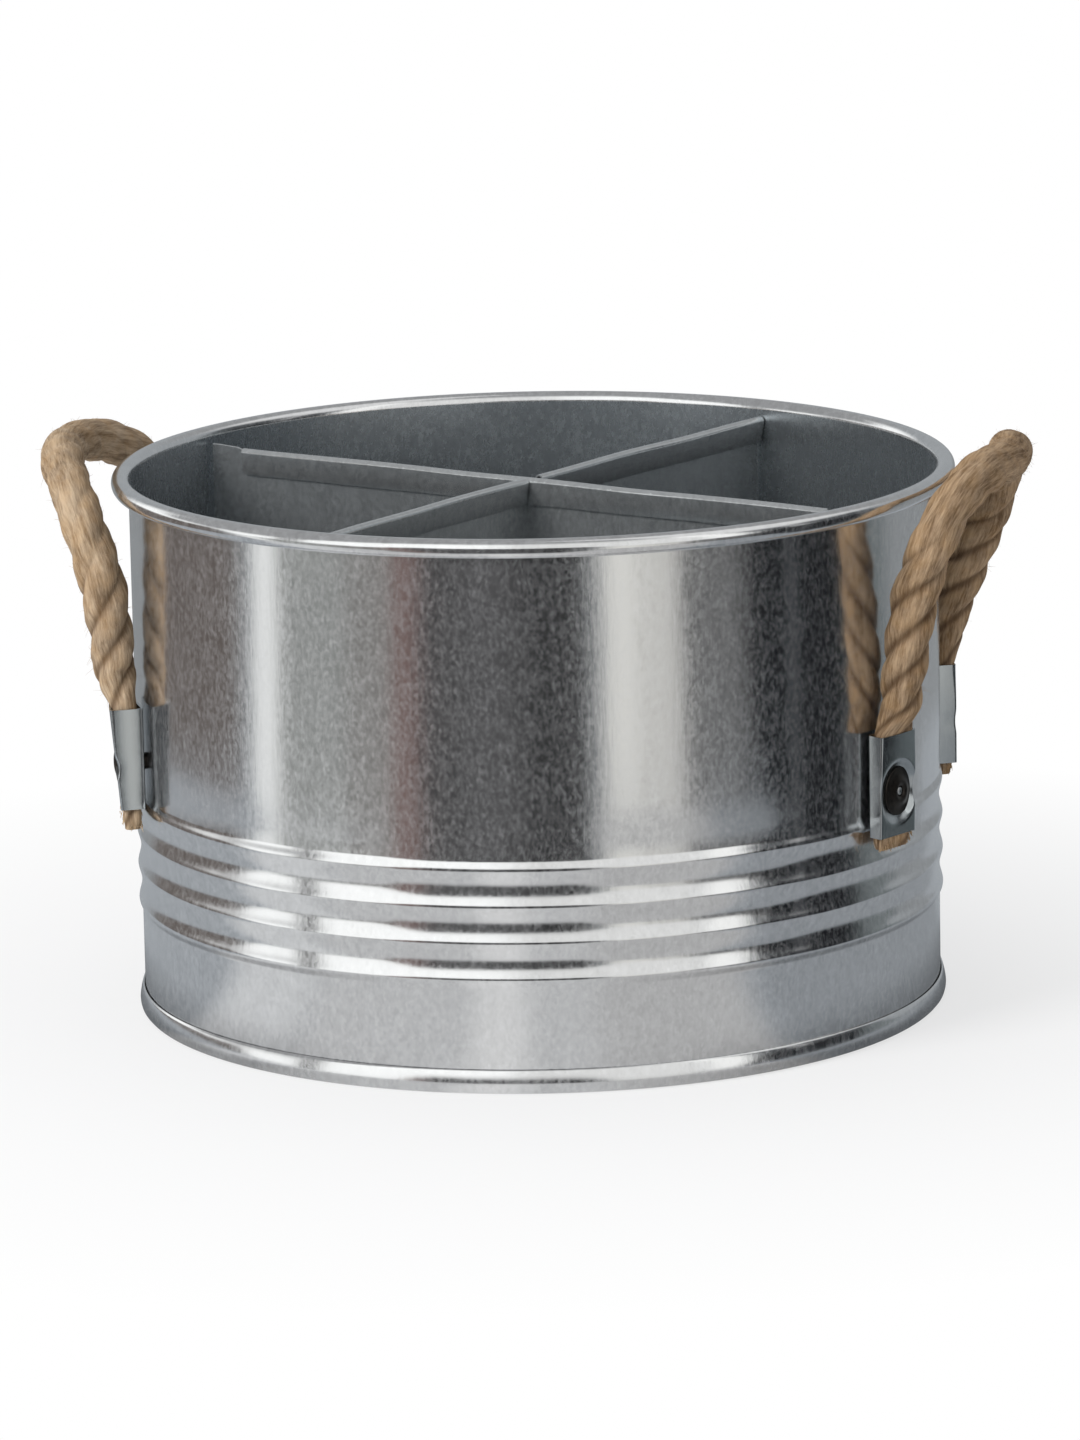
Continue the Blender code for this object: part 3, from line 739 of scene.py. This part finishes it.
def plain_section(foot, top):
    """A single sheet's section: (across, up) points, with a softened top edge."""
    half = SHEET / 2
    rise = [mix(foot, top - 0.2 * MM, i / 8) for i in range(9)]
    edge = [(half - EDGE_SOFT, top), (EDGE_SOFT - half, top)]
    return [(half, up) for up in rise] + edge + [(-half, up) for up in rise[::-1]]


def hemmed_section(foot, top, fold_radius):
    """A sheet's section with its top rolled over into a round fold, and the folded leaf pressed back to the sheet."""
    half = SHEET / 2
    fold = top - fold_radius
    middle = fold_radius - half
    front = middle + fold_radius
    leaf = half + LEAF_GAP
    rise = [mix(foot, HEM_FOOT + 0.5 * MM, i / 8) for i in range(9)]
    points = [(half, up) for up in rise] + [(half, fold)]
    points += arc(middle, fold, fold_radius - SHEET, math.pi, 0, 8)[1:]
    points += [(mix(front - SHEET, leaf, 0.6), mix(fold, HEM_FOOT, 0.45)), (leaf, HEM_FOOT + EDGE_SOFT)]
    points += [(leaf + EDGE_SOFT, HEM_FOOT), (leaf + SHEET - 0.12 * MM, HEM_FOOT)]
    points += [(leaf + SHEET, HEM_FOOT + EDGE_SOFT)]
    points += [(mix(front, leaf + SHEET, 0.6), mix(fold, HEM_FOOT, 0.45))]
    points += arc(middle, fold, fold_radius, 0, math.pi, 14)
    return points + [(-half, up) for up in rise[::-1]]


def sheet_wave(along, up, phase, bow):
    """How far a sheet bulges across its thickness: waves that die out at its ends and the crossing, and its bow."""
    held = math.sin(math.pi * min(abs(along) / DIVIDER_END, 1.0))
    wave = math.sin(along / LONG_WAVE + phase) + 0.5 * math.sin(along / SHORT_WAVE + up / UPWARD_WAVE)
    return SHEET_WAVE * held * wave + bow * (1 - (along / DIVIDER_END) ** 2)


def sheet_run(bm, stations, phase, fold_radius=None, bow=0.0):
    """Skins one run of a divider sheet through (along, foot, top) stations, hemmed where a fold radius is given."""
    filled = []
    for here, there in zip(stations, stations[1:]):
        steps = max(round((there[0] - here[0]) / SHEET_STEP), 1)
        filled += [[mix(a, b, i / steps) for a, b in zip(here, there)] for i in range(steps)]
    rings = []
    for along, foot, top in [*filled, stations[-1]]:
        uneven = HEM_UNEVEN * math.sin(along / HEM_WAVE + 2 * phase) if fold_radius else 0.0
        section = hemmed_section(foot, top + uneven, fold_radius) if fold_radius else plain_section(foot, top)
        rings.append([Vector((along, -across - sheet_wave(along, up, phase, bow), up)) for across, up in section])
    skinned(bm, rings)


def make_dividers(material):
    """The long sheet, whose hem runs on over the crossing, and the cross sheet, notched to pass under it."""
    bm = bmesh.new()
    for side, hem_end, tab_end in zip((-1, 1), LONG_HEM_ENDS, TAB_ENDS):
        tab = [
            (side * hem_end, DIVIDER_FOOT, DIVIDER_TOP - 1.0 * MM),
            (side * (hem_end + 3 * MM), DIVIDER_FOOT, DIVIDER_TOP - 0.1 * MM),
            (side * LONG_RELIEF_END, DIVIDER_FOOT, DIVIDER_TOP + 0.3 * MM),
            (side * (LONG_RELIEF_END + JUMP), LONG_RELIEF_TOP, DIVIDER_TOP + 0.3 * MM),
            (side * tab_end, LONG_RELIEF_TOP, DIVIDER_TOP + 0.2 * MM),
        ]
        sheet_run(bm, tab[::side], LONG_PHASE)
    low, middle, top = DIVIDER_FOOT, DIVIDER_MIDDLE, DIVIDER_TOP
    slotted = [(-LONG_HEM_ENDS[0], low, top), (CROSS_BOW - SLOT - JUMP, low, top), (CROSS_BOW - SLOT, middle, top)]
    slotted += [(CROSS_BOW + SLOT, middle, top), (CROSS_BOW + SLOT + JUMP, low, top), (LONG_HEM_ENDS[1], low, top)]
    sheet_run(bm, slotted, LONG_PHASE, LONG_FOLD)
    long_sheet = add_mesh("divider_sheet_long", bm, material, math.radians(35))

    bm = bmesh.new()
    for side, notch in zip((-1, 1), CROSS_NOTCHES):
        half = [
            (side * notch, low, top),
            (side * CROSS_SHEET_END, low, top),
            (side * (CROSS_SHEET_END + JUMP), HEM_FOOT, top),
            (side * DIVIDER_END, HEM_FOOT, top),
        ]
        sheet_run(bm, half[::side], CROSS_PHASE, CROSS_FOLD, CROSS_BOW)
    under = HEM_FOOT - 0.3 * MM
    slotted = [(-CROSS_NOTCHES[0], low, under), (-SLOT - JUMP, low, under), (-SLOT, low, middle), (SLOT, low, middle)]
    slotted += [(SLOT + JUMP, low, under), (CROSS_NOTCHES[1], low, under)]
    sheet_run(bm, slotted, CROSS_PHASE, bow=CROSS_BOW)
    cross_sheet = add_mesh("divider_sheet_cross", bm, material, math.radians(35))
    for sheet, name, yaw in ((long_sheet, "divider_long", 0.0), (cross_sheet, "divider_cross", CROSS_YAW)):
        sheet.matrix_world = Matrix.Rotation(DIVIDER_TURNS[name] - yaw, 4, "Z")
        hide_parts(name)
        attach(sheet, "tub")


# Clamps and rivets


def clamp_depth(label, along, height):
    """How far the sleeve's front stands off its back at a point: squeezed round the rivet, full at both ends."""
    shape = CLAMP_SHAPES[label]
    rise = (height - CLAMP_FOOT) / (CLAMP_TOP - CLAMP_FOOT)
    aside = along / CLAMP_HALF_WIDTH
    full = mix(shape["foot"], shape["top"], rise) + shape["lean"] * aside + shape["bulge"] * rise * (1 - aside * aside)
    away = math.hypot(DENT_NARROWS * along, height - RIVET_HEIGHT)
    return mix(shape["seat"], full, smooth_share(away, RIVET_HEAD - 0.4 * MM, RIVET_HEAD + shape["fade"] * MM)) * MM


def clamp_ring(label, height, inset):
    """The sleeve's outline at one height, drawn in by the inset on every side."""
    half = CLAMP_HALF_WIDTH - inset
    open_top = smooth_share(height, RIVET_HEIGHT + 6 * MM, CLAMP_TOP)
    corner = mix(CLAMP_FOOT_CORNER, CLAMP_SHAPES[label]["corner"], open_top) * MM
    corner, back = (max(radius - 0.6 * inset, CLAMP_MIN_CORNER) for radius in (corner, CLAMP_BACK_CORNER))
    points = [(mix(back - half, half - back, i / 6), inset) for i in range(6)]
    points += arc(half - back, inset + back, back, -math.pi / 2, 0, 5)
    near_top = clamp_depth(label, half - corner, height) - inset
    points += arc(half - corner, near_top - corner, corner, 0, math.pi / 2, 5)
    for i in range(1, CLAMP_FRONT_STEPS):
        along = mix(half - corner, corner - half, i / CLAMP_FRONT_STEPS)
        points.append((along, clamp_depth(label, along, height) - inset))
    far_top = clamp_depth(label, corner - half, height) - inset
    points += [(-across, out) for across, out in arc(half - corner, far_top - corner, corner, 0, math.pi / 2, 5)[::-1]]
    points += [(-across, out) for across, out in arc(half - back, inset + back, back, -math.pi / 2, 0, 5)[:0:-1]]
    pushed = CLAMP_SHAPES[label]["pushed"] / CLAMP_SHAPES[label]["top"]
    return [Vector((CLAMP_BACK + out, along - pushed * out, height)) for along, out in points]


def clamp_turn(label):
    """Where a clamp and what goes through it stand: turned to their place round the wall, and lifted on the left."""
    return Matrix.Rotation(CLAMP_PLACES[label], 4, "Z") @ Matrix.Translation((0, 0, CLAMP_LIFTS[label.split("_")[0]]))


def make_clamp(label, material):
    """One flattened sleeve, open at both ends."""
    heights = [mix(CLAMP_FOOT, CLAMP_TOP, i / CLAMP_RISE_STEPS) for i in range(CLAMP_RISE_STEPS + 1)]
    outer = [clamp_ring(label, height, 0) for height in heights]
    inner = [clamp_ring(label, height, CLAMP_SHEET) for height in reversed(heights)]
    bm = bmesh.new()
    skinned(bm, outer + inner, joined_ends=True)
    clamp = add_mesh(f"clamp_sleeve_{label}", bm, material, math.radians(50))
    clamp.matrix_world = clamp_turn(label)
    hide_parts(f"rope_clamp_{label}")
    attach(clamp, "tub")


def laid_out(outline, steps):
    """Turns a (radius, distance from the tub's axis) outline and lays its axis out along +X at the rivet's height."""
    bm = turned(outline, steps)
    bmesh.ops.rotate(bm, cent=(0, 0, 0), matrix=Matrix.Rotation(math.pi / 2, 3, "Y"), verts=bm.verts)
    bmesh.ops.translate(bm, vec=(0, 0, RIVET_HEIGHT), verts=bm.verts)
    return bm


def make_rivet(label, coat, pin_coat):
    """The wide-headed rivet and the end of its drawn pin."""
    seat = CLAMP_BACK + (CLAMP_SHAPES[label]["seat"] + 0.05) * MM
    bulb_top = WALL_RADIUS - SHEET - 0.1 * MM
    blind = bulb_top - 2 * RIVET_BULB
    outline = [(RIVET_BORE, blind), (RIVET_SHANK, blind)]
    outline += arc(RIVET_SHANK + 0.4 * MM, bulb_top - RIVET_BULB, RIVET_BULB, -math.pi / 2, math.pi / 2, 6)
    outline += [(RIVET_SHANK, bulb_top), (RIVET_SHANK, seat), (RIVET_HEAD - 0.2 * MM, seat)]
    outline += arc(RIVET_HEAD - RIVET_BRIM, seat + 0.3 * MM, RIVET_BRIM, -math.pi / 3, math.pi / 2, 4)
    outline += [(radius * MM, seat + up * MM) for radius, up in RIVET_DOME]
    rivet = add_mesh(f"rivet_body_{label}", laid_out(outline, 48), coat, math.radians(50))
    end = seat + 0.9 * MM
    outline = [(radius * MM, blind + up * MM) for radius, up in PIN_TAIL]
    outline += [(PIN_RADIUS, blind - 0.1 * MM), (PIN_RADIUS, end - 0.3 * MM)]
    outline += [(PIN_RADIUS - 0.3 * MM, end), (AXIS, end - 0.15 * MM)]
    mandrel = add_mesh(f"rivet_pin_{label}", laid_out(outline, 24), pin_coat, math.radians(50))
    for piece, node, slot in ((rivet, "rivet", "dark_rivet"), (mandrel, "rivet_mandrel", "mandrel_steel")):
        piece.matrix_world = clamp_turn(label)
        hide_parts(f"{node}_{label}")
        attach(piece, "tub")


# Rope

# Each rope's centre line, in millimetres, from the front clamp over the crown to the rear clamp
ROPE_ROUTES = {
    "right": (
        (114.9, -50.9, 96.0), (116.3, -50.9, 103.0), (117.1, -50.4, 110.0), (121.0, -50.4, 134.0),
        (128.6, -48.6, 154.5), (136.5, -33.0, 164.8), (141.8, -6.0, 165.2), (140.0, 20.0, 163.0),
        (135.6, 38.0, 156.0), (130.0, 48.5, 141.0), (123.4, 50.8, 125.0), (117.9, 50.9, 110.0),
        (116.3, 50.9, 103.0), (114.9, 50.8, 96.0),
    ),
    "left": (
        (-115.7, -51.0, 101.0), (-117.2, -50.9, 107.5), (-117.4, -50.7, 113.0), (-120.6, -49.4, 134.0),
        (-129.6, -40.0, 154.6), (-138.3, -20.0, 163.2), (-142.0, 0.0, 164.3), (-139.0, 20.0, 163.2),
        (-130.0, 38.0, 155.5), (-120.5, 49.5, 134.0), (-117.4, 50.6, 113.0), (-117.2, 50.8, 107.5),
        (-115.7, 51.0, 101.0),
    ),
}


def smooth_route(points, steps):
    """Points of a Catmull-Rom curve through the given ones."""
    held = [points[0] * 2 - points[1], *points, points[-1] * 2 - points[-2]]
    route = []
    for a, b, c, d in zip(held, held[1:], held[2:], held[3:]):
        for step in range(steps):
            t = step / steps
            bend = (a * 2 - b * 5 + c * 4 - d) * t * t
            twist = (b * 3 - a - c * 3 + d) * t * t * t
            route.append((b * 2 + (c - a) * t + bend + twist) / 2)
    route.append(points[-1])
    return route


def even_route(points, spacing):
    """The same line with points at an even spacing, and its length."""
    reach = [0.0]
    for a, b in zip(points, points[1:]):
        reach.append(reach[-1] + (b - a).length)
    count = round(reach[-1] / spacing)
    even = []
    k = 0
    for i in range(count + 1):
        wanted = reach[-1] * i / count
        while k < len(points) - 2 and reach[k + 1] < wanted:
            k += 1
        even.append(points[k].lerp(points[k + 1], (wanted - reach[k]) / (reach[k + 1] - reach[k])))
    return even, reach[-1]


def strand_reach(angle, softness):
    """How far three strands laid together reach at an angle from a strand's middle, and how near its crest that is."""
    away = abs((angle + math.pi / 3) % (math.tau / 3) - math.pi / 3)
    centre = mix(STRAND_CENTRE, CROWN_CENTRE, softness)
    reach = centre * math.cos(away) + math.sqrt((1 - centre) ** 2 - (centre * math.sin(away)) ** 2)
    return reach, 1 - away / (math.pi / 3)


def clamped_line(side, end):
    """The rope's line inside a clamp, from its cut tip up to the sleeve's mouth."""
    label = f"{side}_{end}"
    points = []
    tip = ROPE_TIPS[side]
    for i in range(6):
        height = mix(tip, CLAMP_TOP - ROPE_FREED, i / 5)
        depth = clamp_depth(label, 0.0, max(height, CLAMP_FOOT))
        points.append(clamp_turn(label) @ Vector((CLAMP_BACK + depth / 2, 0, height)))
    return points


def rope_shape(side, point):
    """The rope's half width and half depth at a point, and how far its front leans and is pushed with the sleeve's."""
    height = point.z - CLAMP_LIFTS[side]
    label = f"{side}_{'front' if point.y < 0 else 'rear'}"
    shape = CLAMP_SHAPES[label]
    depth = clamp_depth(label, 0.0, min(max(height, CLAMP_FOOT), CLAMP_TOP))
    loose = smooth_share(height, CLAMP_TOP - ROPE_FREED, CLAMP_TOP + ROPE_ROUNDS_OVER)
    drawn = mix(TIP_DRAWN, 1.0, smooth_share(height, ROPE_TIPS[side], ROPE_TIPS[side] + TIP_LENGTH))
    half_width = mix(CLAMP_HALF_WIDTH - ROPE_SIDE_PLAY, ROPE_RADIUS, loose)
    half_depth = mix(depth / 2 - ROPE_FRONT_PLAY, ROPE_RADIUS, loose)
    held = (1 - loose) * (1 if point.y < 0 else -1) * MM
    return half_width * drawn, half_depth * drawn, shape["lean"] * held, shape["pushed"] * held


def rope_ring(side, point, along, travelled, wobble):
    """The rope's outline at a point of its line, with each point's place in the fibre and nearness to a crest."""
    outwards = Vector((point.x, point.y, 0)).normalized()
    across = along.cross(outwards).normalized()
    out = across.cross(along)
    half_width, half_depth, lean, pushed = rope_shape(side, point)
    turn = TWIST_DRIFT * math.sin(travelled / TWIST_WAVE + wobble) - math.tau * travelled / ROPE_LAY
    softness = smooth_share(point.z, *ROPE_SOFTENS[side])
    over = point.z - CLAMP_LIFTS[side] - CLAMP_TOP
    square = 1 - smooth_share(over, *SQUARE_OVER)
    opened = smooth_share(over, *LAY_OPENS_OVER) * (1 - smooth_share(point.z, *LAY_CLOSES))
    girth = 1 + LAY_OPENS * opened + SWELL * math.sin(travelled / SWELL_WAVE + 2 * wobble)
    girth += RIPPLE * math.sin(travelled / RIPPLE_WAVE)
    ring, notes = [], []
    for j in range(ROPE_SIDES):
        angle = math.tau * j / ROPE_SIDES
        reach, crest = strand_reach(angle, softness)
        lump = girth + LUMP * math.sin(5 * angle + travelled / LUMP_WAVE)
        place = angle + turn
        side_on, face_on = math.cos(place), math.sin(place)
        boxed = (abs(side_on) ** SQUARENESS + abs(face_on) ** SQUARENESS) ** (-1 / SQUARENESS)
        reach = mix(reach * lump, boxed * mix(1.0, reach, 0.3), square)
        front = reach * (1 + face_on) / 2
        raised = half_depth * reach * face_on + lean * side_on * front
        ring.append(point + across * (half_width * reach * side_on - pushed * front) + out * raised)
        spot = Vector((side_on * ROPE_RADIUS, face_on * ROPE_RADIUS, travelled))
        notes.append((spot, mix(crest, 0.5 + 0.5 * crest, softness)))
    return ring, notes


def make_rope(side, fibre, hair):
    """One three-strand rope from clamp to clamp, with its fuzz."""
    marks = [Vector(p) * MM for p in ROPE_ROUTES[side]]
    marks = clamped_line(side, "front") + marks + clamped_line(side, "rear")[::-1]
    route, length = even_route(smooth_route(marks, 24), ROPE_STEP)
    dice = random.Random(ROPE_DICE[side])
    bm = bmesh.new()
    along_layer = bm.verts.layers.float_vector.new("along_rope")
    crest_layer = bm.verts.layers.float.new("crest")
    rings, facts = [], []
    travelled = 0.0
    wobble = dice.uniform(0, math.tau)
    for i, point in enumerate(route):
        before, after = route[max(i - 1, 0)], route[min(i + 1, len(route) - 1)]
        along = (after - before).normalized()
        travelled += (point - before).length
        ring, notes = rope_ring(side, point, along, travelled, wobble)
        rings.append(ring)
        facts.append((notes, along))
    loops = skinned(bm, rings)
    for loop, (notes, _) in zip(loops, facts):
        for vertex, (spot, crest) in zip(loop, notes):
            vertex[along_layer] = spot
            vertex[crest_layer] = crest
    body_faces = len(bm.faces)
    add_fuzz(bm, rings, facts, dice)
    bm.faces.ensure_lookup_table()
    for index, face in enumerate(bm.faces):
        face.material_index = 0 if index < body_faces else 1
    rope = add_mesh(f"handle_rope_{side}", bm, fibre, math.radians(70))
    rope.data.materials.append(hair)
    print(f"rope {side}: {length * 1000:.0f} mm from tip to tip")
    ends = [f"rope_end_{side}_{end}" for end in ("front", "rear")]
    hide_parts(f"rope_handle_{side}", *ends)
    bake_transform(rope)


def add_hair(bm, root, way, bend, length, thickness):
    """One three-sided hair that tapers and bends."""
    side = way.orthogonal().normalized()
    other = way.cross(side).normalized()
    rings = []
    for step in range(4):
        share = step / 3
        middle = root + way * (length * share) + bend * (length * share * share)
        girth = thickness * (1 - 0.75 * share)
        rings.append([middle + girth * (side * math.cos(a) + other * math.sin(a)) for a in HAIR_CORNERS])
    skinned(bm, rings)


def add_fuzz(bm, rings, facts, dice):
    """Loose hairs that stand off the rope."""
    usable = [i for i, ring in enumerate(rings) if ring[0].z > CLAMP_TOP + 7 * MM]
    for _ in range(FUZZ_COUNT):
        i = dice.choice(usable)
        ring, along = rings[i], facts[i][1]
        j = dice.randrange(ROPE_SIDES)
        middle = sum(ring, Vector()) / len(ring)
        outwards = (ring[j] - middle).normalized()
        lean = outwards * dice.uniform(0.35, 0.9) + along * dice.uniform(-1, 1)
        lean += Vector((dice.uniform(-0.4, 0.4), dice.uniform(-0.4, 0.4), dice.uniform(-0.4, 0.4)))
        bend = Vector((dice.uniform(-0.5, 0.5), dice.uniform(-0.5, 0.5), dice.uniform(-0.6, 0.2)))
        length = dice.uniform(0.8, 2.6) * MM
        add_hair(bm, ring[j] - outwards * 0.2 * MM, lean.normalized(), bend, length, FUZZ_THICKNESS)


def make_fray(label, hair):
    """Short loose fibres round the rope's cut end that shows under a clamp."""
    side = label.split("_")[0]
    tip = ROPE_TIPS[side]
    thick = CLAMP_SHAPES[label]["foot"] * MM
    dice = random.Random(sorted(CLAMP_PLACES).index(label) + 40)
    bm = bmesh.new()
    for _ in range(FRAY_COUNT):
        along = dice.uniform(-1, 1)
        out = dice.uniform(0.15, 0.85)
        start = mix(CLAMP_FOOT - 0.3 * MM, tip + 0.9 * MM, dice.random())
        root = Vector((CLAMP_BACK + thick * out, along * FRAY_HALF_WIDTH, start))
        way = Vector((0.5 * (out - 0.4) + dice.uniform(-0.15, 0.15), along * 0.20 + dice.uniform(-0.15, 0.15), -1))
        bend = Vector((dice.uniform(-0.2, 0.2), dice.uniform(-0.2, 0.2), 0))
        length, thickness = dice.uniform(0.8, 1.9) * MM, dice.uniform(0.12, 0.26) * MM
        add_hair(bm, root, way.normalized(), bend, length, thickness)
    fray = add_mesh(f"rope_fray_{label}", bm, hair)
    fray.matrix_world = clamp_turn(label)
    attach(fray, "tub")


# Everything in place

add_camera()
zinc_grain = zinc_grain_group()
# Each rope's crease colour is painted shade in the creases between its strands
jutes = {
    "right": rope_fibre(
        "jute_browner", light=(0.50, 0.355, 0.225), dark=(0.165, 0.102, 0.055), crease_shade=(0.085, 0.045, 0.022)
    ),
    "left": rope_fibre(
        "jute_paler", light=(0.55, 0.42, 0.29), dark=(0.205, 0.138, 0.083), crease_shade=(0.10, 0.056, 0.028)
    ),
}
jute_hair = loose_fibre("jute_hair", light=(0.50, 0.36, 0.21), dark=(0.28, 0.18, 0.09))
for side in ROPE_ROUTES:
    make_rope(side, jutes[side], jute_hair)

sheet_zinc = galvanized(
    "galvanized_sheet", (0.80, 0.805, 0.81), 0.16, grain=1.0, waves=1.0, bump=0.016 * MM, frost=0.09
)
# The inside of the wall is the same sheet, tinted darker and bluer: painted shade inside the tub
inner_zinc_shaded = galvanized(
    "galvanized_inside", (0.45, 0.485, 0.51), 0.26, grain=0.8, waves=0.5, bump=0.004 * MM, metal=0.90, frost=0.0
)
divider_zinc = galvanized(
    "galvanized_divider", (0.69, 0.71, 0.715), 0.21, grain=0.9, waves=1.0, bump=0.010 * MM, metal=0.88, frost=0.04
)
clamp_zinc = galvanized("bright_zinc", (0.50, 0.53, 0.545), 0.20, grain=0.5, waves=1.0, bump=0.02 * MM)
wire_zinc = galvanized("steel_wire", (0.45, 0.46, 0.47), 0.40, grain=0.5, waves=0.5, bump=0.02 * MM)
dark_rivet = rivet_coat("dark_rivet", (0.035, 0.030, 0.026), 0.34, 0.85)
pin_steel = rivet_coat("mandrel_steel", (0.62, 0.62, 0.62), 0.28, 1.0)

make_wall(sheet_zinc, inner_zinc_shaded)
make_base(sheet_zinc)
for label in CLAMP_PLACES:
    make_clamp(label, clamp_zinc)
    make_rivet(label, dark_rivet, pin_steel)
    make_fray(label, jute_hair)
make_dividers(divider_zinc)
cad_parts["rim_wire"].data.materials.clear()
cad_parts["rim_wire"].data.materials.append(wire_zinc)

studio_walls()
add_table()
add_softbox("key_lamp", (-1.5, -1.3, 1.2), 0.9, 39)
add_softbox("fill_lamp", (1.5, -1.2, 0.9), 1.0, 1)
add_softbox("top_lamp", (-0.2, 0.5, 1.9), 1.2, 5)
bpy.context.scene.view_settings.view_transform = "Standard"
